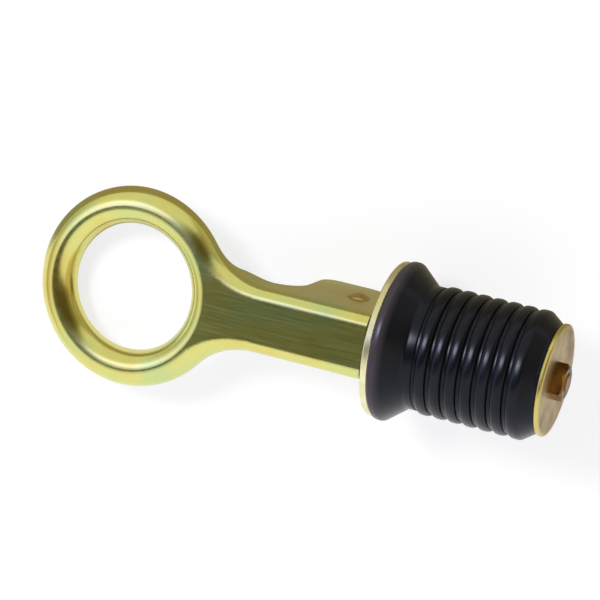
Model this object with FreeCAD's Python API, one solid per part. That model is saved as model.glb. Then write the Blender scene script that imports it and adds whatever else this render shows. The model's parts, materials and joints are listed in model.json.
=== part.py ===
"""Snap-handle drain plug for a boat's drain tube, lying as it comes to rest on a table.

Millimetres. Every piece is built in the plug's own frame: +X runs along the stem from the cam washer's
bearing face at x = 0 to the nose, +Y runs along the rivet, and +Z points out of the handle's flat web.
lay_down then turns and lowers all of them together, so that the feet of both ears and the rim of the flange
touch z = 0.
"""
import FreeCAD, Part
import math
import os

V = FreeCAD.Vector
AXIS_X = V(1, 0, 0)
AXIS_Y = V(0, 1, 0)
AXIS_Z = V(0, 0, 1)
ORIGIN = V(0, 0, 0)

# Drain tube that the plug closes
tube_bore = 25.4
plug_clearance = 0.2

# Rubber plug
rib_count = 7
rib_pitch = 3.03
first_rib_x = 10.6
rib_shoulder_x = 0.55
rib_shoulder_r = 0.25
groove_width = 0.9
groove_depth = 1.0
neck_groove_width = 0.6
neck_groove_depth = 0.3
neck_below_rib = 0.45
flange_r = 15.55
flange_t = 1.35
flange_back_round = 0.5
flange_front_round = 0.7
cone_length = 4.2
neck_round = 1.2
last_rib_width = 2.4
nose_chamfer_x = 2.1
nose_chamfer_r = 1.9
nose_land = 0.5
nose_round = 0.3
rubber_bore_clearance = 0.3

# Cam washer behind the flange
washer_r = 15.2
washer_t = 1.4
washer_edge_round = 0.25
washer_bore_clearance = 0.3

# Stem
rod_r = 2.1
eye_r = 4.6
eye_shoulder = 2.2
eye_shoulder_angle = math.radians(45)
rod_past_nut = 0.3
rod_end_chamfer = 0.4

# Nose disc and nut
disc_r = 10.85
disc_t = 1.0
disc_edge_round = 0.35
nut_across_flats = 6.4
nut_t = 2.0
nut_sides = 6
nut_chamfer = 0.45

# Rivet
rivet_r = 1.6
rivet_head_r = 2.35
rivet_head_t = 0.95
rivet_running_clearance = 0.05

# Handle, one stamped sheet: distances from the rivet's axis
sheet_t = 1.2
web_z = 12.9
arm_half_width = 6.45
arm_corner_r = 2.4
arm_edge_z = 5.45
ring_centre_s = 42.4
ring_outer_r = 19.65
ring_hole_r = 12.5
ring_edge_z = 9.0
ring_crest_land = 0.2
neck_blend_r = 15.1
edge_ramp_start_s = 18.5
edge_ramp_length = 6.5
ear_back_s = 10.5
ear_back_fillet = 5.8
ear_foot_round = 3.0
ear_top_z = 9.6
web_end_setback = 0.65
web_end_z = 11.0
eye_side_clearance = 0.3

# Cam edge of the ears: distance from the rivet to the bearing face with the handle in line, and folded
cam_in_line = 7.45
cam_folded = 10.0
cam_clearance = 0.05
cam_curve_steps = 12

# Smallest length that counts as a difference
length_tolerance = 1e-6

quarter_turn = math.pi / 2
cam_rise_per_radian = (cam_folded - cam_in_line) / quarter_turn
rivet_x = -(cam_in_line + cam_clearance)
rib_r = tube_bore / 2 - plug_clearance
neck_r = rib_r - neck_below_rib
groove_r = rib_r - groove_depth
rib_half_width = (rib_pitch - groove_width) / 2
first_rib_back_x = first_rib_x - rib_half_width
last_rib_front_x = first_rib_back_x + (rib_count - 1) * rib_pitch + last_rib_width
rubber_front_x = last_rib_front_x + nose_chamfer_x + nose_land
disc_front_x = rubber_front_x + disc_t
nut_front_x = disc_front_x + nut_t
rod_end_x = nut_front_x + rod_past_nut
ear_inner_half_width = arm_half_width - sheet_t
eye_half_width = ear_inner_half_width - eye_side_clearance
ring_crest_r = (ring_outer_r - ring_hole_r - ring_crest_land) / 2


def corner(x, z, rounding=0):
    """One corner of an outline: its place in the XZ plane and its rounding."""
    return V(x, 0, z), rounding


def outline_wire(corners):
    """Closed wire in the XZ plane through corners, with tangent arcs at the rounded ones."""
    runs = []
    count = len(corners)
    for i, (here, rounding) in enumerate(corners):
        if rounding <= 0:
            runs.append((here, None, here))
            continue
        back = (corners[i - 1][0] - here).normalize()
        ahead = (corners[(i + 1) % count][0] - here).normalize()
        half_angle = back.getAngle(ahead) / 2
        bisector = (back + ahead).normalize()
        trim = rounding / math.tan(half_angle)
        middle = here + bisector * (rounding / math.sin(half_angle) - rounding)
        runs.append((here + back * trim, middle, here + ahead * trim))
    edges = []
    for i, (start, middle, end) in enumerate(runs):
        if middle is not None:
            edges.append(Part.Arc(start, middle, end).toShape())
        edges.append(Part.makeLine(end, runs[(i + 1) % count][0]))
    return Part.Wire(edges)


def turned(corners):
    """Solid of revolution about the stem's axis, from the corners of half its section."""
    return Part.Face(outline_wire(corners)).revolve(ORIGIN, AXIS_X, 360)


def rod(start_x, end_x, radius):
    """Cylinder on the stem's axis."""
    return Part.makeCylinder(radius, end_x - start_x, V(start_x, 0, 0), AXIS_X)


def cross_rod(radius, half_length):
    """Cylinder on the rivet's axis."""
    return Part.makeCylinder(radius, 2 * half_length, V(rivet_x, -half_length, 0), AXIS_Y)


def rubber_plug():
    """Moulded body: flange, cone, neck, shouldered ribs between square grooves, and a chamfered nose."""
    bore_r = rod_r + rubber_bore_clearance
    flange_front_x = washer_t + flange_t
    side_r = rib_r - rib_shoulder_r
    neck_groove_r = neck_r - neck_groove_depth
    corners = [
        corner(washer_t, bore_r),
        corner(washer_t, flange_r, flange_back_round),
        corner(flange_front_x, flange_r, flange_front_round),
        corner(flange_front_x + cone_length, neck_r, neck_round),
        corner(first_rib_back_x - neck_groove_width, neck_r),
        corner(first_rib_back_x - neck_groove_width, neck_groove_r),
        corner(first_rib_back_x, neck_groove_r),
    ]
    for i in range(rib_count):
        last = i == rib_count - 1
        back = first_rib_back_x + i * rib_pitch
        front = last_rib_front_x if last else back + 2 * rib_half_width
        corners.append(corner(back, side_r))
        corners.append(corner(back + rib_shoulder_x, rib_r))
        corners.append(corner(front - rib_shoulder_x, rib_r))
        corners.append(corner(front, side_r))
        if not last:
            corners.append(corner(front, groove_r))
            corners.append(corner(back + rib_pitch, groove_r))
    nose_r = rib_r - nose_chamfer_r
    corners.append(corner(last_rib_front_x + nose_chamfer_x, nose_r, nose_round))
    corners.append(corner(rubber_front_x, nose_r))
    corners.append(corner(rubber_front_x, bore_r))
    return turned(corners)


def disc(start_x, thickness, radius, edge_round, bore_r):
    """Flat washer with both rim edges rounded."""
    return turned([
        corner(start_x, bore_r),
        corner(start_x, radius, edge_round),
        corner(start_x + thickness, radius, edge_round),
        corner(start_x + thickness, bore_r),
    ])


def cam_washer():
    """Brass washer that the ears bear on."""
    return disc(0, washer_t, washer_r, washer_edge_round, rod_r + washer_bore_clearance)


def nose_washer():
    """Brass disc that squeezes the rubber from the nose, seated on the rod."""
    return disc(rubber_front_x, disc_t, disc_r, disc_edge_round, rod_r)


def nose_nut():
    """Hexagon nut, one flat towards +Z, its outer corners turned off by a cone."""
    half_flats = nut_across_flats / 2
    corner_r = half_flats / math.cos(math.pi / nut_sides)
    points = []
    for i in range(nut_sides + 1):
        angle = 2 * math.pi * i / nut_sides
        points.append(V(disc_front_x, corner_r * math.cos(angle), corner_r * math.sin(angle)))
    hexagon = Part.Face(Part.makePolygon(points)).extrude(V(nut_t, 0, 0))
    turned_blank = turned([
        corner(disc_front_x, 0),
        corner(disc_front_x, corner_r),
        corner(nut_front_x - nut_chamfer, corner_r),
        corner(nut_front_x, half_flats - nut_chamfer / 2),
        corner(nut_front_x, 0),
    ])
    return hexagon.common(turned_blank).cut(rod(disc_front_x, nut_front_x, rod_r))


def stem():
    """Rod with a flat-sided eye at the handle's end, and a shoulder that runs the eye into the rod."""
    eye = cross_rod(eye_r, eye_half_width)
    shoulder_x = rivet_x + eye_r * math.cos(eye_shoulder_angle)
    shoulder = turned([
        corner(rivet_x, 0),
        corner(rivet_x, eye_r),
        corner(shoulder_x, eye_r * math.sin(eye_shoulder_angle)),
        corner(shoulder_x + eye_shoulder, rod_r),
        corner(rod_end_x - rod_end_chamfer, rod_r),
        corner(rod_end_x, rod_r - rod_end_chamfer),
        corner(rod_end_x, 0),
    ])
    between_flats = cross_rod(rod_end_x - rivet_x + eye_r, eye_half_width)
    pin_hole = cross_rod(rivet_r + rivet_running_clearance, eye_half_width + eye_side_clearance)
    return eye.fuse(shoulder.common(between_flats)).cut(pin_hole).removeSplitter()


def pivot_pin():
    """Rivet: a shank through both ears and the eye, with a low round head on each side."""
    shank = cross_rod(rivet_r, arm_half_width)
    dome_r = (rivet_head_r ** 2 + rivet_head_t ** 2) / (2 * rivet_head_t)
    for side in (-1, 1):
        face_y = side * arm_half_width
        ball = Part.makeSphere(dome_r, V(rivet_x, face_y + side * (rivet_head_t - dome_r), 0))
        outside = Part.makeCylinder(2 * dome_r, 2 * dome_r, V(rivet_x, face_y, 0), AXIS_Y * side)
        shank = shank.fuse(ball.common(outside))
    return shank.removeSplitter()


def arc_between(start, end, centre, radius):
    """Shorter arc about centre from start to end."""
    middle = centre + ((start - centre) + (end - centre)).normalize() * radius
    return Part.Arc(start, middle, end).toShape()


def handle_outline(inset):
    """Face of the handle seen along Z, drawn in by inset: ring, concave necks, straight arm and the hole."""
    ring_r = ring_outer_r - inset
    half_width = arm_half_width - inset
    blend_r = neck_blend_r + inset
    end_x = rivet_x + cam_in_line + inset
    ring_centre = V(rivet_x - ring_centre_s, 0, 0)
    blend_y = half_width + blend_r
    blend_x = ring_centre.x + math.sqrt((ring_r + blend_r) ** 2 - blend_y ** 2)
    sides = []
    for side in (1, -1):
        blend_centre = V(blend_x, side * blend_y, 0)
        on_arm = V(blend_x, side * half_width, 0)
        on_ring = ring_centre + (blend_centre - ring_centre).normalize() * ring_r
        sides.append((on_arm, on_ring, arc_between(on_arm, on_ring, blend_centre, blend_r)))
    (arm_a, ring_a, blend_a), (arm_b, ring_b, blend_b) = sides
    end_a = V(end_x, half_width, 0)
    end_b = V(end_x, -half_width, 0)
    far = ring_centre - AXIS_X * ring_r
    outline = Part.Wire(Part.sortEdges([
        Part.makeLine(end_b, end_a),
        Part.makeLine(end_a, arm_a),
        blend_a,
        Part.Arc(ring_a, far, ring_b).toShape(),
        blend_b,
        Part.makeLine(arm_b, end_b),
    ])[0])
    hole = Part.Wire(Part.makeCircle(ring_hole_r + inset, ring_centre))
    return Part.Face(outline).cut(Part.Face(hole))


def pressed_form(inset):
    """Outline carried up to the web, its top edges rounded: half-round on the ring, tighter on the arm."""
    top_z = web_z - inset
    floor_z = -cam_folded - sheet_t
    outline = handle_outline(inset)
    outline.translate(V(0, 0, floor_z))
    block = outline.extrude(V(0, 0, top_z - floor_z))
    crest_r = ring_crest_r - inset
    corner_r = arm_corner_r - inset
    ring_x = rivet_x - ring_centre_s
    rounded = []
    for number, edge in enumerate(block.Edges, start=1):
        if any(abs(vertex.Z - top_z) > length_tolerance for vertex in edge.Vertexes):
            continue
        ends = [edge.valueAt(edge.FirstParameter), edge.valueAt(edge.LastParameter)]
        if isinstance(edge.Curve, Part.Line):
            if abs(ends[0].x - ends[1].x) > length_tolerance:
                rounded.append((number, corner_r, corner_r))
        elif abs(edge.Curve.Center.x - ring_x) < length_tolerance:
            rounded.append((number, crest_r, crest_r))
        else:
            radii = [corner_r, crest_r]
            if ends[0].x < ends[1].x:
                radii.reverse()
            rounded.append((number, radii[0], radii[1]))
    document = FreeCAD.newDocument()
    base = document.addObject("Part::Feature", "block")
    base.Shape = block
    fillet = document.addObject("Part::Fillet", "rounded")
    fillet.Base = base
    fillet.Edges = rounded
    document.recompute()
    form = fillet.Shape.copy()
    FreeCAD.closeDocument(document.Name)
    return form


def cam_curve():
    """Cam edge: its distance from the rivet grows evenly with the angle that the handle has turned."""
    points = []
    for i in range(cam_curve_steps + 1):
        angle = quarter_turn * i / cam_curve_steps
        reach = cam_in_line + cam_rise_per_radian * angle
        x = reach * math.cos(angle) - cam_rise_per_radian * math.sin(angle)
        z = -reach * math.sin(angle) - cam_rise_per_radian * math.cos(angle)
        points.append(V(rivet_x + x, 0, z))
    curve = Part.BSplineCurve()
    curve.interpolate(Points=points, InitialTangent=-AXIS_Z, FinalTangent=-AXIS_X)
    return curve.toShape(), points[0], points[-1]


def side_profile():
    """Face in XZ that the sheet's free edge follows: web end, cam, ear, arm wall, ramp and ring rim."""
    cam, cam_start, cam_end = cam_curve()
    end_x = rivet_x + cam_in_line
    web_x = end_x - web_end_setback
    back_x = rivet_x - ear_back_s
    wall_x = back_x - ear_back_fillet
    ramp_x = rivet_x - edge_ramp_start_s
    rise = ring_edge_z - arm_edge_z
    ramp_end = V(ramp_x - edge_ramp_length, 0, ring_edge_z)
    ramp_start = V(ramp_x, 0, arm_edge_z)
    half_way = (ramp_start + ramp_end) * 0.5
    ramp_r = (edge_ramp_length ** 2 + rise ** 2) / (4 * rise)
    low_centre = ramp_start + AXIS_Z * ramp_r
    high_centre = ramp_end - AXIS_Z * ramp_r
    over_z = web_z + sheet_t
    far_x = rivet_x - ring_centre_s - ring_outer_r - sheet_t
    foot_up = V(back_x, 0, -cam_folded + ear_foot_round)
    foot_flat = V(back_x + ear_foot_round, 0, -cam_folded)
    foot_centre = V(foot_flat.x, 0, foot_up.z)
    wall_low = V(back_x, 0, arm_edge_z - ear_back_fillet)
    wall_flat = V(wall_x, 0, arm_edge_z)
    wall_centre = V(wall_x, 0, wall_low.z)
    corners = [V(web_x, 0, over_z), V(web_x, 0, web_end_z), V(end_x, 0, ear_top_z), cam_start]
    edges = [Part.makeLine(a, b) for a, b in zip(corners, corners[1:])]
    edges += [
        cam,
        Part.makeLine(cam_end, foot_flat),
        arc_between(foot_flat, foot_up, foot_centre, ear_foot_round),
        Part.makeLine(foot_up, wall_low),
        arc_between(wall_low, wall_flat, wall_centre, ear_back_fillet),
        Part.makeLine(wall_flat, ramp_start),
        arc_between(ramp_start, half_way, low_centre, ramp_r),
        arc_between(half_way, ramp_end, high_centre, ramp_r),
        Part.makeLine(ramp_end, V(far_x, 0, ring_edge_z)),
        Part.makeLine(V(far_x, 0, ring_edge_z), V(far_x, 0, over_z)),
        Part.makeLine(V(far_x, 0, over_z), corners[0]),
    ]
    return Part.Face(Part.Wire(edges))


def handle():
    """Stamped lever: the pressed form hollowed by itself drawn in by the sheet, then trimmed to its side."""
    reach = 2 * ring_outer_r
    trim = side_profile()
    trim.translate(V(0, -reach, 0))
    trim = trim.extrude(V(0, 2 * reach, 0))
    shell = pressed_form(0).common(trim).cut(pressed_form(sheet_t))
    return shell.cut(cross_rod(rivet_r, arm_half_width + sheet_t)).removeSplitter()


def rest_angle():
    """Lift of the nose when the ears' feet and the flange's back edge, both rounded, lie on the table."""
    foot_x = rivet_x - ear_back_s + ear_foot_round
    foot_drop = cam_folded - ear_foot_round
    rim_x = washer_t + flange_back_round
    rim_drop = flange_r - flange_back_round
    span = math.hypot(rim_drop - foot_drop, rim_x - foot_x)
    line_of_centres = math.atan2(rim_drop - foot_drop, rim_x - foot_x)
    return line_of_centres - math.asin((ear_foot_round - flange_back_round) / span)


def lay_down(shapes):
    """Turn all pieces nose up by the rest angle and stand them on z = 0, centred in x and y."""
    lift = rest_angle()
    for shape in shapes:
        shape.rotate(ORIGIN, AXIS_Y, -math.degrees(lift))
    box = Part.makeCompound(shapes).optimalBoundingBox(False, False)
    for shape in shapes:
        shape.translate(V(-box.Center.x, 0, -box.ZMin))
    return V(-box.Center.x, 0, -box.ZMin)


pieces = {
    "cam_washer": cam_washer(),
    "rubber_plug": rubber_plug(),
    "stem": stem(),
    "nose_washer": nose_washer(),
    "nose_nut": nose_nut(),
    "handle": handle(),
    "pivot_pin": pivot_pin(),
}
shift = lay_down(list(pieces.values()))
os.makedirs("parts", exist_ok=True)
for node, shape in pieces.items():
    shape.exportStep("parts/" + node + ".step")
    print(node, len(shape.Solids), "solid", round(shape.Volume, 1), "mm3", "valid", shape.isValid())
print("nose lift in degrees", round(math.degrees(rest_angle()), 4))
print("plug frame's origin", [round(v, 4) for v in shift])
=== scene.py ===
"""Looks of the snap-handle drain plug, built round its fixed solids.

A pressed brass lever with a finger ring closes over a ribbed rubber plug. The rubber is modelled here with
its soft moulded edges. The brass pieces keep their own solids and get the finish that each was made with.
Everything is in metres. Sizes are given in millimetres and turned to metres by MM.
"""
import json
import logging
import math
from dataclasses import dataclass
from enum import Enum

import bpy
import numpy as np
from mathutils import Euler, Matrix, Vector


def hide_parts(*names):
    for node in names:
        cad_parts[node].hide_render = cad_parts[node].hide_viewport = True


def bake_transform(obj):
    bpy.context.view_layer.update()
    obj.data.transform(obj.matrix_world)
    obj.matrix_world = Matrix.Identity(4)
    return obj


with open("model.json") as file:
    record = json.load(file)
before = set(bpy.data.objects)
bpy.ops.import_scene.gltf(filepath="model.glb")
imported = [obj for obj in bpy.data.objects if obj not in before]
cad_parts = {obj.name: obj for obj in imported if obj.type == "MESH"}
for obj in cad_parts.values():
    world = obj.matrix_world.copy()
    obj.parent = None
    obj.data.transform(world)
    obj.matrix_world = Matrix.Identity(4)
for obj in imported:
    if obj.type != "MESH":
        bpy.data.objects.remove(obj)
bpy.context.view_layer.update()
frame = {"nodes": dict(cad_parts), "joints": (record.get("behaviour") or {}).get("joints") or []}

MM = 0.001
# Radians of phase that a wave texture gives over one unit of its scaled length
WAVE_PHASE = 20.0
log = logging.getLogger("drain_plug")


class Node(Enum):
    """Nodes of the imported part, one for each piece."""

    HANDLE = "handle"
    PIVOT_PIN = "pivot_pin"
    STEM = "stem"
    CAM_WASHER = "cam_washer"
    RUBBER_PLUG = "rubber_plug"
    NOSE_WASHER = "nose_washer"
    NOSE_NUT = "nose_nut"


class Body(Enum):
    """Moving bodies that the rubber reaches across."""

    PLUG = "plug"
    DRAWBAR = "drawbar"


def linear(colour: str) -> tuple[float, float, float, float]:
    """Turn an sRGB hex colour into linear red, green, blue and an alpha of one.

    Args:
        colour: six hex digits after a hash mark.

    Returns:
        Linear components between 0 and 1.
    """
    channels = np.array([int(colour[i:i + 2], 16) for i in (1, 3, 5)]) / 255.0
    low = channels / 12.92
    high = ((channels + 0.055) / 1.055) ** 2.4
    red, green, blue = np.where(channels <= 0.04045, low, high)
    return float(red), float(green), float(blue), 1.0


def add_node(
    tree: bpy.types.NodeTree, kind: str, links: dict[str | int, object] | None = None, **settings: object,
) -> bpy.types.Node:
    """Add one node with its settings and links.

    Args:
        tree: node tree that gets the node.
        kind: Blender's name of the node's type.
        links: socket name or number of the new node, with the output socket or the value that feeds it.
        **settings: attributes of the node.

    Returns:
        The new node.
    """
    node = tree.nodes.new(kind)
    for name, value in settings.items():
        setattr(node, name, value)
    for socket, source in (links or {}).items():
        if isinstance(source, bpy.types.NodeSocket):
            tree.links.new(source, node.inputs[socket])
        else:
            node.inputs[socket].default_value = source
    return node


def fill_ramp(node: bpy.types.Node, stops: list[tuple[float, tuple[float, ...]]]) -> bpy.types.NodeSocket:
    """Set a colour ramp's stops.

    Args:
        node: the ramp.
        stops: places between 0 and 1, each with a linear colour.

    Returns:
        The ramp's colour output.
    """
    elements = node.color_ramp.elements
    while len(elements) < len(stops):
        elements.new(1.0)
    for element, (place, colour) in zip(elements, stops):
        element.position = place
        element.color = colour
    return node.outputs["Color"]


@dataclass(frozen=True)
class PlugAxes:
    """The plug's own frame, as it lies: x along the stem to the nose, y along the rivet, z out of the web."""

    origin: tuple[float, float, float]
    along: tuple[float, float, float]

    @classmethod
    def from_joints(cls, joints: list[dict], rivet_to_washer: float = 7.5) -> "PlugAxes":
        """Read the frame from the record's joints.

        Args:
            joints: the record's joints.
            rivet_to_washer: millimetres from the rivet's axis to the cam washer's bearing face.

        Returns:
            The plug's frame, its origin at the middle of the cam washer's bearing face.
        """
        slide = next(joint for joint in joints if joint["type"] == "slide")
        hinge = next(joint for joint in joints if joint["type"] == "hinge")
        along = -Vector(slide["axis"]).normalized()
        origin = Vector(hinge["pos_m"]) + along * rivet_to_washer * MM
        return cls(tuple(origin), tuple(along))

    @property
    def lift(self) -> float:
        """Angle in radians by which the nose is lifted from the table."""
        return math.atan2(self.along[2], self.along[0])

    def matrix(self) -> Matrix:
        """Matrix from plug metres to world metres."""
        return Matrix.Translation(self.origin) @ Matrix.Rotation(-self.lift, 4, "Y")

    def place(self, points: np.ndarray) -> np.ndarray:
        """Turn points in plug millimetres, as rows, into world metres."""
        matrix = np.array(self.matrix())
        return points * MM @ matrix[:3, :3].T + matrix[:3, 3]


def mesh_piece(
    name: str, points: np.ndarray, quads: np.ndarray, material: bpy.types.Material,
) -> bpy.types.Object:
    """Make a smooth-shaded mesh object from arrays.

    Args:
        name: name of the piece.
        points: vertices as rows, in world metres.
        quads: four vertex numbers a row, counter-clockwise seen from outside.
        material: finish of the piece.

    Returns:
        The new object, at the origin.
    """
    mesh = bpy.data.meshes.new(name)
    mesh.vertices.add(len(points))
    mesh.vertices.foreach_set("co", points.astype(np.float32).ravel())
    mesh.loops.add(quads.size)
    mesh.loops.foreach_set("vertex_index", quads.astype(np.int32).ravel())
    mesh.polygons.add(len(quads))
    mesh.polygons.foreach_set("loop_start", np.arange(0, quads.size, 4, dtype=np.int32))
    mesh.update(calc_edges=True)
    mesh.validate()
    mesh.shade_smooth()
    mesh.materials.append(material)
    piece = bpy.data.objects.new(name, mesh)
    bpy.context.scene.collection.objects.link(piece)
    return piece


def grid_quads(rows: int, columns: int) -> np.ndarray:
    """Faces of a grid that closes on itself both ways.

    The face at row i and column j joins (i, j), (i, j + 1), (i + 1, j + 1) and (i + 1, j), with both numbers
    taken round at their ends.

    Args:
        rows: points along the first parameter.
        columns: points along the second parameter.

    Returns:
        Four vertex numbers a row.
    """
    i, j = np.meshgrid(np.arange(rows), np.arange(columns), indexing="ij")
    after_i = (i + 1) % rows
    after_j = (j + 1) % columns
    corners = [i * columns + j, i * columns + after_j, after_i * columns + after_j, after_i * columns + j]
    return np.stack([corner.ravel() for corner in corners], axis=1)


def rounded_profile(corners: list[tuple[float, float, float]], steps: int) -> np.ndarray:
    """Closed outline through corners (x, radius, rounding), with an arc of points at each rounded corner.

    An arc touches both sides at rounding / tan(half the corner's angle) from the corner, and its points turn
    evenly about its centre, which lies on the corner's bisector.

    Args:
        corners: places of the corners and the radius of each arc.
        steps: points on one arc.

    Returns:
        Points of the outline as rows of x and radius.
    """
    points = []
    spots = np.array([corner[:2] for corner in corners])
    for i, rounding in enumerate(corner[2] for corner in corners):
        here = spots[i]
        back = spots[i - 1] - here
        ahead = spots[(i + 1) % len(spots)] - here
        back = back / np.linalg.norm(back)
        ahead = ahead / np.linalg.norm(ahead)
        if rounding <= 0:
            points.append(here[None, :])
            continue
        half_angle = math.acos(float(np.clip(back @ ahead, -1, 1))) / 2
        bisector = (back + ahead) / np.linalg.norm(back + ahead)
        centre = here + bisector * rounding / math.sin(half_angle)
        start = here + back * rounding / math.tan(half_angle) - centre
        end = here + ahead * rounding / math.tan(half_angle) - centre
        turn = math.pi - 2 * half_angle
        share = np.linspace(0, 1, steps)[:, None]
        weights = np.sin((1 - share) * turn), np.sin(share * turn)
        points.append(centre + (weights[0] * start + weights[1] * end) / math.sin(turn))
    return np.concatenate(points)


def new_material(name: str) -> tuple[bpy.types.Material, bpy.types.NodeTree]:
    """Make a material with an empty node tree.

    Args:
        name: name of the material.

    Returns:
        The material and its tree.
    """
    material = bpy.data.materials.new(name)
    material.use_nodes = True
    material.node_tree.nodes.clear()
    return material, material.node_tree


def plug_vector(tree: bpy.types.NodeTree, axes: PlugAxes) -> bpy.types.NodeSocket:
    """Turn a surface point's coordinates into the plug's own frame, so that a pattern follows the stem.

    Args:
        tree: node tree of the material.
        axes: the plug's frame.

    Returns:
        The point in the plug's frame, in metres.
    """
    place = add_node(tree, "ShaderNodeTexCoord")
    local = add_node(tree, "ShaderNodeMapping", {
        "Vector": place.outputs["Object"], "Location": axes.origin, "Rotation": (0, -axes.lift, 0),
    }, vector_type="TEXTURE")
    return local.outputs["Vector"]


def rim_share(
    tree: bpy.types.NodeTree, local: bpy.types.NodeSocket, rim_mm: tuple[float, float],
) -> bpy.types.NodeSocket:
    """Share from 0 to 1 of the way out between two radii about the stem.

    Args:
        tree: node tree of the material.
        local: point in the plug's frame.
        rim_mm: radii at which the rim starts and is full.

    Returns:
        The share's socket.
    """
    across = add_node(tree, "ShaderNodeVectorMath", {0: local, 1: (0, 1, 1)}, operation="MULTIPLY")
    radius = add_node(tree, "ShaderNodeVectorMath", {0: across.outputs["Vector"]}, operation="LENGTH")
    share = add_node(tree, "ShaderNodeMapRange", {
        "Value": radius.outputs["Value"], "From Min": rim_mm[0] * MM, "From Max": rim_mm[1] * MM,
    })
    return share.outputs["Result"]


@dataclass(frozen=True)
class PolishedBrass:
    """Lacquered bright brass that was pressed from sheet and barrel-polished.

    The polish leaves a mirror with a slow wobble, fine lines along the sheet and a thin film of lacquer. Real
    lines are finer and would not show. The film drifts between green gold, lemon and brown gold over a
    finger's width, and is greenest by the ring.
    """

    name: str = "barrel_polished_pressed_brass"
    green_gold: str = "#cad58e"
    lemon: str = "#dad682"
    brown_gold: str = "#d9c86e"
    film_stops: tuple[float, float, float] = (0.32, 0.52, 0.74)
    film_size_mm: float = 12.0
    greenest_x_mm: float = -33.0
    drift_mm: float = 34.0
    drift: float = 0.08
    roughness: float = 0.21
    roughness_span: tuple[float, float] = (0.75, 1.3)
    wobble_size_mm: float = 3.0
    wobble_height_mm: float = 0.008
    line_spacing_mm: float = 0.35
    line_stretch: float = 25.0
    line_height_mm: float = 0.0008

    def film(self, tree: bpy.types.NodeTree, local: bpy.types.NodeSocket) -> bpy.types.NodeSocket:
        """Colour of the brass under its lacquer.

        Args:
            tree: node tree of the material.
            local: point in the plug's frame.

        Returns:
            The colour's socket.
        """
        cloud = add_node(tree, "ShaderNodeTexNoise", {
            "Vector": local, "Scale": 1 / (self.film_size_mm * MM), "Detail": 2.0,
        })
        parts = add_node(tree, "ShaderNodeSeparateXYZ", {"Vector": local})
        past = add_node(
            tree, "ShaderNodeMath", {0: parts.outputs["X"], 1: self.greenest_x_mm * MM}, operation="SUBTRACT",
        )
        away = add_node(tree, "ShaderNodeMath", {0: past.outputs[0]}, operation="ABSOLUTE")
        drift = add_node(tree, "ShaderNodeMapRange", {
            "Value": away.outputs[0], "From Max": self.drift_mm * MM, "To Min": -self.drift / 2,
            "To Max": self.drift / 2,
        })
        thickness = add_node(
            tree, "ShaderNodeMath", {0: cloud.outputs["Fac"], 1: drift.outputs["Result"]}, operation="ADD",
        )
        ramp = add_node(tree, "ShaderNodeValToRGB", {"Fac": thickness.outputs[0]})
        colours = (linear(colour) for colour in (self.green_gold, self.lemon, self.brown_gold))
        return fill_ramp(ramp, list(zip(self.film_stops, colours)))

    def build(self, axes: PlugAxes) -> bpy.types.Material:
        """Make the material.

        Args:
            axes: the plug's frame, which the polishing lines follow.

        Returns:
            The material.
        """
        material, tree = new_material(self.name)
        local = plug_vector(tree, axes)
        wobble = add_node(tree, "ShaderNodeTexNoise", {
            "Vector": local, "Scale": 1 / (self.wobble_size_mm * MM), "Detail": 1.0,
        })
        stretch = add_node(
            tree, "ShaderNodeMapping", {"Vector": local, "Scale": (1 / self.line_stretch, 1.0, 1.0)},
        )
        lines = add_node(tree, "ShaderNodeTexNoise", {
            "Vector": stretch.outputs["Vector"], "Scale": 1 / (self.line_spacing_mm * MM), "Detail": 3.0,
        })
        rough = add_node(tree, "ShaderNodeMapRange", {
            "Value": lines.outputs["Fac"], "To Min": self.roughness * self.roughness_span[0],
            "To Max": self.roughness * self.roughness_span[1],
        })
        soft = add_node(tree, "ShaderNodeBump", {
            "Height": wobble.outputs["Fac"], "Distance": self.wobble_height_mm * MM, "Strength": 1.0,
        })
        fine = add_node(tree, "ShaderNodeBump", {
            "Height": lines.outputs["Fac"], "Distance": self.line_height_mm * MM, "Strength": 1.0,
            "Normal": soft.outputs["Normal"],
        })
        shader = add_node(tree, "ShaderNodeBsdfPrincipled", {
            "Base Color": self.film(tree, local), "Metallic": 1.0, "Roughness": rough.outputs["Result"],
            "Normal": fine.outputs["Normal"],
        })
        add_node(tree, "ShaderNodeOutputMaterial", {"Surface": shader.outputs["BSDF"]})
        return material


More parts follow.
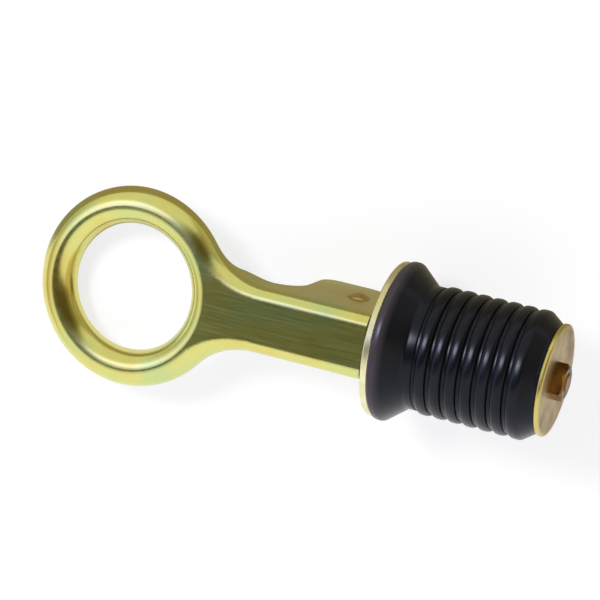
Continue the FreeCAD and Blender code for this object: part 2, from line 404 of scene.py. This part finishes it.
@dataclass(frozen=True)
class TurnedBrass:
    """Brass finished on a lathe, or blanked and faced, with fine rings about its axis.

    Real facing rings are finer and would not show. Stains make its colour and its gloss uneven. A piece whose
    face has tarnished can be given a brighter colour towards its rim.
    """

    name: str
    bright: str
    dull: str
    rim: str | None = None
    rim_mm: tuple[float, float] = (0.0, 1.0)
    roughness: float = 0.3
    roughness_span: tuple[float, float] = (1.3, 0.8)
    ring_spacing_mm: float = 0.553
    ring_height_mm: float = 0.002
    ring_wander: float = 1.2
    stain_size_mm: float = 4.0
    stain_stops: tuple[float, float] = (0.35, 0.62)

    def build(self, axes: PlugAxes) -> bpy.types.Material:
        """Make the material.

        Args:
            axes: the plug's frame, whose x axis the rings go round.

        Returns:
            The material.
        """
        material, tree = new_material(self.name)
        local = plug_vector(tree, axes)
        rings = add_node(tree, "ShaderNodeTexWave", {
            "Vector": local, "Scale": 2 * math.pi / (WAVE_PHASE * self.ring_spacing_mm * MM),
            "Distortion": self.ring_wander, "Detail": 2.0,
        }, wave_type="RINGS", rings_direction="X")
        stain = add_node(tree, "ShaderNodeTexNoise", {
            "Vector": local, "Scale": 1 / (self.stain_size_mm * MM), "Detail": 3.0,
        })
        ramp = add_node(tree, "ShaderNodeValToRGB", {"Fac": stain.outputs["Fac"]})
        colour = fill_ramp(ramp, list(zip(self.stain_stops, (linear(self.dull), linear(self.bright)))))
        if self.rim:
            colour = add_node(tree, "ShaderNodeMix", {
                0: rim_share(tree, local, self.rim_mm), 6: colour, 7: linear(self.rim),
            }, data_type="RGBA").outputs[2]
        bump = add_node(tree, "ShaderNodeBump", {
            "Height": rings.outputs["Fac"], "Distance": self.ring_height_mm * MM, "Strength": 1.0,
        })
        rough = add_node(tree, "ShaderNodeMapRange", {
            "Value": stain.outputs["Fac"], "To Min": self.roughness * self.roughness_span[0],
            "To Max": self.roughness * self.roughness_span[1],
        })
        shader = add_node(tree, "ShaderNodeBsdfPrincipled", {
            "Base Color": colour, "Metallic": 1.0, "Roughness": rough.outputs["Result"],
            "Normal": bump.outputs["Normal"],
        })
        add_node(tree, "ShaderNodeOutputMaterial", {"Surface": shader.outputs["BSDF"]})
        return material


@dataclass(frozen=True)
class MouldedRubber:
    """Compression-moulded black rubber: a satin skin with a faint blue bloom and a fine mould grain.

    Real grain is finer and would not show. The flange's rim is painted paler, as a painted reflection of
    light glancing off it.
    """

    name: str = "compression_moulded_black_rubber"
    black: str = "#0b0d13"
    bloom: str = "#14151f"
    painted_rim_reflection: str = "#443e46"
    painted_rim_reflection_mm: tuple[float, float] = (14.6, 15.7)
    sheen_of_skin: str = "#e3e8ff"
    roughness: float = 0.25
    roughness_span: tuple[float, float] = (0.85, 1.2)
    specular: float = 0.23
    index: float = 1.52
    grain_size_mm: float = 0.35
    grain_height_mm: float = 0.006
    bloom_size_mm: float = 7.0
    bloom_stops: tuple[float, float] = (0.35, 0.7)

    def build(self, axes: PlugAxes) -> bpy.types.Material:
        """Make the material.

        Args:
            axes: the plug's frame, which centres the pattern.

        Returns:
            The material.
        """
        material, tree = new_material(self.name)
        local = plug_vector(tree, axes)
        bloom = add_node(tree, "ShaderNodeTexNoise", {
            "Vector": local, "Scale": 1 / (self.bloom_size_mm * MM), "Detail": 4.0,
        })
        ramp = add_node(tree, "ShaderNodeValToRGB", {"Fac": bloom.outputs["Fac"]})
        skin = fill_ramp(ramp, list(zip(self.bloom_stops, (linear(self.black), linear(self.bloom)))))
        # Paler colour at the flange's rim: a painted reflection
        colour = add_node(tree, "ShaderNodeMix", {
            0: rim_share(tree, local, self.painted_rim_reflection_mm), 6: skin, 7: linear(self.painted_rim_reflection),
        }, data_type="RGBA")
        grain = add_node(tree, "ShaderNodeTexNoise", {
            "Vector": local, "Scale": 1 / (self.grain_size_mm * MM), "Detail": 2.0,
        })
        bump = add_node(tree, "ShaderNodeBump", {
            "Height": grain.outputs["Fac"], "Distance": self.grain_height_mm * MM, "Strength": 1.0,
        })
        rough = add_node(tree, "ShaderNodeMapRange", {
            "Value": bloom.outputs["Fac"], "To Min": self.roughness * self.roughness_span[0],
            "To Max": self.roughness * self.roughness_span[1],
        })
        shader = add_node(tree, "ShaderNodeBsdfPrincipled", {
            "Base Color": colour.outputs[2], "Roughness": rough.outputs["Result"], "IOR": self.index,
            "Specular IOR Level": self.specular, "Specular Tint": linear(self.sheen_of_skin),
            "Normal": bump.outputs["Normal"],
        })
        add_node(tree, "ShaderNodeOutputMaterial", {"Surface": shader.outputs["BSDF"]})
        return material


@dataclass
class RubberBody:
    """Ribbed rubber plug, turned about the stem's axis from one closed outline."""

    flange_back_x: float = 1.4
    flange_r: float = 15.55
    flange_t: float = 1.35
    flange_back_round: float = 0.5
    flange_front_round: float = 0.7
    cone_length: float = 4.2
    neck_r: float = 12.05
    neck_round: float = 1.2
    neck_groove_width: float = 0.6
    neck_groove_depth: float = 0.3
    rib_r: float = 12.5
    rib_count: int = 7
    rib_pitch: float = 3.03
    first_rib_x: float = 10.6
    groove_width: float = 0.9
    groove_r: float = 11.5
    crown: float = 0.36
    crown_power: float = 3.4
    edge_round: float = 0.12
    groove_round: float = 0.3
    last_rib_width: float = 2.4
    nose_chamfer_x: float = 2.1
    nose_chamfer_r: float = 1.9
    nose_land: float = 0.5
    nose_round: float = 0.3
    bore_r: float = 2.4
    crown_steps: int = 11
    arc_steps: int = 5
    columns: int = 160

    @property
    def first_rib_back_x(self) -> float:
        """Where the first rib starts."""
        return self.first_rib_x - (self.rib_pitch - self.groove_width) / 2

    @property
    def front_x(self) -> float:
        """Front face of the nose."""
        start = self.first_rib_back_x + (self.rib_count - 1) * self.rib_pitch
        return start + self.last_rib_width + self.nose_chamfer_x + self.nose_land

    def outline(self) -> np.ndarray:
        """Closed outline of half the body as rows of x and radius, in millimetres.

        A rib's crest falls off from its middle with a power of the share of its half width, which leaves a
        broad crest and soft shoulders.

        Returns:
            Points of the outline as rows.
        """
        flange_front_x = self.flange_back_x + self.flange_t
        neck_groove_r = self.neck_r - self.neck_groove_depth
        start = self.first_rib_back_x
        corners = [
            (self.flange_back_x, self.bore_r, 0),
            (self.flange_back_x, self.flange_r, self.flange_back_round),
            (flange_front_x, self.flange_r, self.flange_front_round),
            (flange_front_x + self.cone_length, self.neck_r, self.neck_round),
            (start - self.neck_groove_width, self.neck_r, self.edge_round),
            (start - self.neck_groove_width, neck_groove_r, self.edge_round),
            (start, neck_groove_r, self.edge_round),
        ]
        share = np.linspace(-1, 1, self.crown_steps)
        crest = self.rib_r - self.crown * np.abs(share) ** self.crown_power
        for i in range(self.rib_count):
            last = i == self.rib_count - 1
            width = self.last_rib_width if last else self.rib_pitch - self.groove_width
            rounding = np.zeros(self.crown_steps)
            rounding[[0, -1]] = self.edge_round
            corners.extend(zip(start + width * (share + 1) / 2, crest, rounding))
            end = start + width
            if not last:
                corners.append((end, self.groove_r, self.groove_round))
                corners.append((end + self.groove_width, self.groove_r, self.groove_round))
            start += self.rib_pitch
        nose_r = self.rib_r - self.nose_chamfer_r
        corners.append((end + self.nose_chamfer_x, nose_r, self.nose_round))
        corners.append((self.front_x, nose_r, 0))
        corners.append((self.front_x, self.bore_r, 0))
        return rounded_profile(corners, self.arc_steps)

    def build(self, axes: PlugAxes, material: bpy.types.Material) -> bpy.types.Object:
        """Turn the outline about the x axis: y = radius times cosine and z = radius times sine of the turn.

        The outline runs outwards at the flange's back, then forwards over the ribs, which makes every face
        point outwards.

        Args:
            axes: the plug's frame.
            material: finish of the rubber.

        Returns:
            The rubber piece.
        """
        outline = self.outline()
        turn = np.linspace(0, 2 * np.pi, self.columns, endpoint=False)
        x = np.repeat(outline[:, :1], self.columns, axis=1)
        y = outline[:, 1:] * np.cos(turn)
        z = outline[:, 1:] * np.sin(turn)
        points = np.stack([x, y, z], axis=2).reshape(-1, 3)
        quads = grid_quads(len(outline), self.columns)
        return mesh_piece("ribbed_rubber", axes.place(points), quads, material)


@dataclass(frozen=True)
class Cloth:
    """One cloth of the tent, laid over those before it.

    Its share is the product of soft steps. A step has a direction from the floor's middle, and the cosines of
    the angles to it at which the step starts and is full.
    """

    glow: tuple[float, float, float]
    steps: tuple[tuple[tuple[float, float, float], float, float], ...]
    mirrored_only: bool = False

    def lay(
        self, tree: bpy.types.NodeTree, direction: bpy.types.NodeSocket,
        under: bpy.types.NodeSocket | tuple[float, ...],
    ) -> bpy.types.NodeSocket:
        """Lay the cloth over the colour under it.

        Args:
            tree: node tree of the tent's material.
            direction: direction of the surface point from the floor's middle.
            under: colour or socket of what is under the cloth.

        Returns:
            The mixed colour's socket.
        """
        share = 1.0
        if self.mirrored_only:
            share = add_node(tree, "ShaderNodeLightPath").outputs["Is Glossy Ray"]
        for towards, start, full in self.steps:
            cosine = add_node(
                tree, "ShaderNodeVectorMath", {0: direction, 1: towards}, operation="DOT_PRODUCT",
            )
            step = add_node(tree, "ShaderNodeMapRange", {
                "Value": cosine.outputs["Value"], "From Min": start, "From Max": full,
            }, interpolation_type="SMOOTHSTEP")
            share = add_node(
                tree, "ShaderNodeMath", {0: share, 1: step.outputs["Result"]}, operation="MULTIPLY",
            ).outputs[0]
        over = add_node(tree, "ShaderNodeMix", {0: share, 6: under, 7: (*self.glow, 1)}, data_type="RGBA")
        return over.outputs[2]


@dataclass(frozen=True)
class Gap:
    """Dim gap between the tent's cloths: a band about a great circle. Angles are in degrees.

    The reach is the angle along the circle from the gap's middle. The half width grows from the near end of
    the reach to the middle. Each end has the reach at which the gap starts and is full, and the edge has the
    same in half widths. The stops are places along the reach, for its near shade, its core and its far shade.
    """

    middle: tuple[float, float, float] = (0.098, 0.236, 0.967)
    across: tuple[float, float, float] = (-0.519, 0.841, -0.153)
    reach: tuple[float, float] = (-62.0, 55.0)
    half_width: tuple[float, float] = (7.0, 23.0)
    near_end: tuple[float, float] = (-67.0, -59.0)
    far_end: tuple[float, float] = (55.0, 41.0)
    edge: tuple[float, float] = (1.25, 0.8)
    stops: tuple[float, float, float, float] = (0.17, 0.4, 0.62, 1.0)
    near: tuple[float, float, float] = (0.038, 0.052, 0.010)
    core: tuple[float, float, float] = (0.080, 0.054, 0.004)
    far: tuple[float, float, float] = (0.400, 0.330, 0.210)

    def lay(
        self, tree: bpy.types.NodeTree, direction: bpy.types.NodeSocket,
        under: bpy.types.NodeSocket | tuple[float, ...],
    ) -> bpy.types.NodeSocket:
        """Cut the gap into the cloths.

        Args:
            tree: node tree of the tent's material.
            direction: direction of the surface point from the floor's middle.
            under: colour or socket of what is under the gap.

        Returns:
            The mixed colour's socket.
        """
        middle = Vector(self.middle).normalized()
        across = Vector(self.across).normalized()
        along = across.cross(middle)
        along_share, middle_share, across_share = (
            add_node(tree, "ShaderNodeVectorMath", {0: direction, 1: tuple(axis)}, operation="DOT_PRODUCT")
            for axis in (along, middle, across)
        )
        reach = add_node(tree, "ShaderNodeMath", {
            0: along_share.outputs["Value"], 1: middle_share.outputs["Value"],
        }, operation="ARCTAN2").outputs[0]
        turned = add_node(tree, "ShaderNodeMath", {0: across_share.outputs["Value"]}, operation="ARCSINE")
        width = add_node(tree, "ShaderNodeMath", {0: turned.outputs[0]}, operation="ABSOLUTE")
        half = add_node(tree, "ShaderNodeMapRange", {
            "Value": reach, "From Min": math.radians(self.reach[0]), "From Max": 0.0,
            "To Min": math.radians(self.half_width[0]), "To Max": math.radians(self.half_width[1]),
        })
        ratio = add_node(
            tree, "ShaderNodeMath", {0: width.outputs[0], 1: half.outputs["Result"]}, operation="DIVIDE",
        )
        share = 1.0
        limits = (
            (ratio.outputs[0], *self.edge),
            (reach, *map(math.radians, self.near_end)),
            (reach, *map(math.radians, self.far_end)),
        )
        for value, start, full in limits:
            step = add_node(tree, "ShaderNodeMapRange", {
                "Value": value, "From Min": start, "From Max": full,
            }, interpolation_type="SMOOTHSTEP")
            share = add_node(
                tree, "ShaderNodeMath", {0: share, 1: step.outputs["Result"]}, operation="MULTIPLY",
            ).outputs[0]
        place = add_node(tree, "ShaderNodeMapRange", {
            "Value": reach, "From Min": math.radians(self.reach[0]), "From Max": math.radians(self.reach[1]),
        })
        ramp = add_node(tree, "ShaderNodeValToRGB", {"Fac": place.outputs["Result"]})
        shades = ((*shade, 1) for shade in (self.near, self.core, self.core, self.far))
        shade = fill_ramp(ramp, list(zip(self.stops, shades)))
        over = add_node(tree, "ShaderNodeMix", {0: share, 6: under, 7: shade}, data_type="RGBA")
        return over.outputs[2]


@dataclass
class Tent:
    """Round lit tent over the object, white on its open side and dimmer at its back, nose and ring sides.

    One bright cloth, where the key light stands, shows in reflections alone.
    """

    radius: float = 850.0
    strength: float = 1.1
    rows: int = 24
    columns: int = 48
    backwards: tuple[float, float, float] = (0.0, 1.0, 0.0)
    nosewards: tuple[float, float, float] = (0.982, 0.191, 0.0)
    ringwards: tuple[float, float, float] = (-0.98, -0.08, -0.18)
    keywards: tuple[float, float, float] = (-0.676, 0.110, 0.728)

    def cloths(self) -> list[Cloth]:
        """List the cloths in the order in which they are laid.

        Returns:
            The cloths.
        """
        return [
            Cloth(glow=(0.800, 0.790, 0.700), steps=((self.backwards, 0.05, 0.5),)),
            Cloth(glow=(0.480, 0.470, 0.390), steps=((self.ringwards, 0.72, 0.95),)),
            Cloth(glow=(0.670, 0.590, 0.360), steps=((self.nosewards, 0.38, 0.62),)),
            Cloth(
                glow=(0.460, 0.410, 0.270),
                steps=((self.nosewards, 0.38, 0.62), (self.backwards, 0.15, 0.55)),
            ),
            Cloth(glow=(1.450, 1.480, 2.500), steps=((self.keywards, 0.940, 0.9945),), mirrored_only=True),
        ]

    def material(self) -> bpy.types.Material:
        """Make the glow of the tent's cloths and its gap.

        Returns:
            The material.
        """
        material, tree = new_material("lit_tent_cloth")
        place = add_node(tree, "ShaderNodeTexCoord")
        direction = add_node(
            tree, "ShaderNodeVectorMath", {0: place.outputs["Object"]}, operation="NORMALIZE",
        )
        colour = (1, 1, 1, 1)
        for layer in (*self.cloths(), Gap()):
            colour = layer.lay(tree, direction.outputs["Vector"], colour)
        glow = add_node(tree, "ShaderNodeEmission", {"Color": colour, "Strength": self.strength})
        add_node(tree, "ShaderNodeOutputMaterial", {"Surface": glow.outputs["Emission"]})
        material.cycles.emission_sampling = "NONE"
        return material

    def build(self) -> None:
        """Half ball with a flat crown: radius × (cos e cos a, cos e sin a, sin e) at height e and turn a.

        Its rows stay open at the top and the foot, so the faces that would join the last row to the first go.
        """
        height, turn = np.meshgrid(
            np.linspace(0, np.pi / 2, self.rows, endpoint=False),
            np.linspace(0, 2 * np.pi, self.columns, endpoint=False), indexing="ij",
        )
        out = np.cos(height)
        points = np.stack([out * np.cos(turn), out * np.sin(turn), np.sin(height)], axis=2) * self.radius * MM
        quads = grid_quads(self.rows, self.columns)[:-self.columns]
        material = self.material()
        wall = mesh_piece("tent", points.reshape(-1, 3), quads, material)
        for item in (wall, stage_face("tent_crown", points[-1], material)):
            item.visible_camera = False


@dataclass
class PaintedFloorShadowMat:
    """Dim mat behind the object's middle, thinned to nothing at its front edge and its rim.

    It is a painted shadow of the floor round the object. Only reflections show it, and the polished brass
    above all.
    """

    # Colour of the painted shadow of the floor, which reflections alone show
    glow: tuple[float, float, float] = (0.370, 0.320, 0.210)
    edge_y: tuple[float, float] = (-1.0, 9.0)
    radius: float = 240.0
    full_share: float = 0.6
    above_floor: float = 0.05

    def material(self) -> bpy.types.Material:
        """Make the mat's dim glow, clear where the mat is thin.

        Returns:
            The material.
        """
        material, tree = new_material("painted_floor_shadow_mat")
        place = add_node(tree, "ShaderNodeTexCoord")
        parts = add_node(tree, "ShaderNodeSeparateXYZ", {"Vector": place.outputs["Object"]})
        length = add_node(tree, "ShaderNodeVectorMath", {0: place.outputs["Object"]}, operation="LENGTH")
        edge = add_node(tree, "ShaderNodeMapRange", {
            "Value": parts.outputs["Y"], "From Min": self.edge_y[0] * MM, "From Max": self.edge_y[1] * MM,
        }, interpolation_type="SMOOTHSTEP")
        rim = add_node(tree, "ShaderNodeMapRange", {
            "Value": length.outputs["Value"], "From Min": self.radius * MM,
            "From Max": self.radius * self.full_share * MM,
        }, interpolation_type="SMOOTHSTEP")
        amount = add_node(
            tree, "ShaderNodeMath", {0: edge.outputs["Result"], 1: rim.outputs["Result"]},
            operation="MULTIPLY",
        )
        clear = add_node(tree, "ShaderNodeBsdfTransparent")
        # The dim glow is a painted shadow of the floor round the object
        glow = add_node(tree, "ShaderNodeEmission", {"Color": (*self.glow, 1), "Strength": 1.0})
        both = add_node(tree, "ShaderNodeMixShader", {
            0: amount.outputs[0], 1: clear.outputs["BSDF"], 2: glow.outputs["Emission"],
        })
        add_node(tree, "ShaderNodeOutputMaterial", {"Surface": both.outputs["Shader"]})
        material.cycles.emission_sampling = "NONE"
        return material

    def build(self) -> None:
        """Lay the mat."""
        corners = square(self.radius, self.above_floor) * MM
        mat = stage_face("painted_floor_shadow_mat", corners, self.material())
        mat.visible_camera = mat.visible_diffuse = mat.visible_shadow = False


@dataclass
class Floor:
    """Matt pale paper, lifted to white for the camera, with a weaker shadow, and less so for mirrors."""

    half: float = 900.0
    paper: str = "#e8e8ea"
    seen_paper: str = "#a4a4a6"
    seen_lift: tuple[float, float, float] = (0.690, 0.697, 0.725)
    mirrored_lift: tuple[float, float, float] = (0.285, 0.300, 0.355)

    def material(self) -> bpy.types.Material:
        """Make the paper.

        Returns:
            The material.
        """
        material, tree = new_material("matt_paper_sweep")
        ray = add_node(tree, "ShaderNodeLightPath")
        mirrored = add_node(tree, "ShaderNodeMix", {
            0: ray.outputs["Is Glossy Ray"], 6: (0, 0, 0, 1), 7: (*self.mirrored_lift, 1),
        }, data_type="RGBA")
        lift = add_node(tree, "ShaderNodeMix", {
            0: ray.outputs["Is Camera Ray"], 6: mirrored.outputs[2], 7: (*self.seen_lift, 1),
        }, data_type="RGBA")
        tone = add_node(tree, "ShaderNodeMix", {
            0: ray.outputs["Is Camera Ray"], 6: linear(self.paper), 7: linear(self.seen_paper),
        }, data_type="RGBA")
        paper = add_node(tree, "ShaderNodeBsdfDiffuse", {"Color": tone.outputs[2]})
        glow = add_node(tree, "ShaderNodeEmission", {"Color": lift.outputs[2], "Strength": 1.0})
        both = add_node(tree, "ShaderNodeAddShader", {0: paper.outputs["BSDF"], 1: glow.outputs["Emission"]})
        add_node(tree, "ShaderNodeOutputMaterial", {"Surface": both.outputs["Shader"]})
        return material

    def build(self) -> bpy.types.Object:
        """Lay the floor."""
        return stage_face("paper_floor", square(self.half, 0.0) * MM, self.material())


@dataclass
class Softbox:
    """One lamp over the ribs. It lights the matt pieces, and leaves no glare on the brass."""

    target: tuple[float, float, float] = (35.0, 4.0, 26.0)
    direction: tuple[float, float, float] = (-0.55, 0.36, 0.754)
    distance: float = 620.0
    size: float = 150.0
    radiance: float = 23.0

    def build(self, matt_pieces: list[bpy.types.Object]) -> None:
        """Hang the lamp, whose power is its radiance times pi and its area.

        Args:
            matt_pieces: pieces that it lights.
        """
        lamp = bpy.data.lights.new("softbox", "AREA")
        lamp.shape = "SQUARE"
        lamp.size = self.size * MM
        lamp.energy = self.radiance * math.pi * lamp.size ** 2
        holder = bpy.data.objects.new("softbox", lamp)
        towards = Vector(self.direction).normalized()
        holder.location = (Vector(self.target) + towards * self.distance) * MM
        holder.rotation_euler = towards.to_track_quat("Z", "Y").to_euler()
        bpy.context.scene.collection.objects.link(holder)
        lit = bpy.data.collections.new("lit_by_softbox")
        for piece in matt_pieces:
            lit.objects.link(piece)
        holder.light_linking.receiver_collection = lit


@dataclass
class Viewpoint:
    """Camera in the plug's own frame: its place, its turn in degrees and its focal length in pixels."""

    eye: tuple[float, float, float] = (132.261, 103.068, 427.908)
    turn: tuple[float, float, float] = (-8.8858, 21.2689, 10.1137)
    focal_px: float = 2400.0
    picture_px: float = 600.0
    sensor: float = 36.0
    clip: tuple[float, float] = (0.01, 10.0)

    def build(self, axes: PlugAxes) -> None:
        """Put the camera up.

        Args:
            axes: the plug's frame.
        """
        lens = bpy.data.cameras.new("camera")
        lens.sensor_width = self.sensor
        lens.lens = self.sensor * self.focal_px / self.picture_px
        lens.clip_start, lens.clip_end = self.clip
        camera = bpy.data.objects.new("camera", lens)
        turn = Euler([math.radians(angle) for angle in self.turn], "XYZ").to_matrix().to_4x4()
        camera.matrix_world = axes.matrix() @ Matrix.Translation(Vector(self.eye) * MM) @ turn
        bpy.context.scene.collection.objects.link(camera)
        bpy.context.scene.camera = camera


def square(half: float, height: float) -> np.ndarray:
    """Corners of a level square about the origin, as rows."""
    return np.array([(x * half, y * half, height) for x, y in ((-1, -1), (1, -1), (1, 1), (-1, 1))])


def stage_face(name: str, outline: np.ndarray, material: bpy.types.Material) -> bpy.types.Object:
    """Make one flat face that belongs to the studio and not to the object.

    Args:
        name: name of the face.
        outline: its corners as rows, in world metres.
        material: its finish.

    Returns:
        The new object.
    """
    mesh = bpy.data.meshes.new(name)
    mesh.from_pydata(outline.tolist(), [], [list(range(len(outline)))])
    mesh.materials.append(material)
    item = bpy.data.objects.new(name, mesh)
    bpy.context.scene.collection.objects.link(item)
    return item


def build_studio(axes: PlugAxes, matt_pieces: list[bpy.types.Object]) -> None:
    """Make the floor, the tent, the lamp, the white world and the camera.

    Args:
        axes: the plug's frame.
        matt_pieces: pieces that the lamp lights beside the floor.
    """
    floor = Floor().build()
    Tent().build()
    PaintedFloorShadowMat().build()
    Softbox().build([floor, *matt_pieces])
    Viewpoint().build(axes)
    world = bpy.data.worlds.new("white_room")
    world.use_nodes = True
    world.node_tree.nodes.clear()
    sky = add_node(world.node_tree, "ShaderNodeBackground", {"Color": (1, 1, 1, 1), "Strength": 1.0})
    add_node(world.node_tree, "ShaderNodeOutputWorld", {"Surface": sky.outputs["Background"]})
    bpy.context.scene.world = world
    bpy.context.scene.view_settings.view_transform = "Standard"


def dress(node: Node, material: bpy.types.Material) -> None:
    """Give a solid that stays its finish.

    Args:
        node: the solid's node.
        material: its finish.
    """
    for slot in frame["nodes"][node.value].material_slots:
        slot.material = material
    log.info("%s is finished in %s", node.value, material.name)


def build_rubber(axes: PlugAxes) -> bpy.types.Object:
    """Make the rubber in place of its solid.

    Args:
        axes: the plug's frame.

    Returns:
        The rubber piece.
    """
    body = RubberBody()
    piece = body.build(axes, MouldedRubber().build(axes))
    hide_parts(Node.RUBBER_PLUG.value)
    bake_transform(piece)
    log.info("%s has %d faces", piece.name, len(piece.data.polygons))
    return piece


def main() -> None:
    """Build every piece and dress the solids."""
    logging.basicConfig(level=logging.INFO, format="%(name)s: %(message)s")
    axes = PlugAxes.from_joints(frame["joints"])
    sheet = TurnedBrass("blanked_sheet_brass", "#eee8c0", "#dcd2a0")
    tarnished = TurnedBrass(
        "tarnished_blanked_brass", "#ac9150", "#86672c", rim="#d3c276", rim_mm=(9.9, 10.7),
    )
    rivet = TurnedBrass("peened_rivet_brass", "#d8c98a", "#b39a58", roughness=0.22)
    turned = TurnedBrass("turned_free_cutting_brass", "#946c36", "#40200a")
    finishes = (
        (PolishedBrass(), (Node.HANDLE,)),
        (sheet, (Node.CAM_WASHER,)),
        (tarnished, (Node.NOSE_WASHER,)),
        (rivet, (Node.PIVOT_PIN,)),
        (turned, (Node.STEM, Node.NOSE_NUT)),
    )
    for finish, nodes in finishes:
        material = finish.build(axes)
        for node in nodes:
            dress(node, material)
    rubber = build_rubber(axes)
    build_studio(axes, [rubber])


if __name__ == "__main__":
    main()
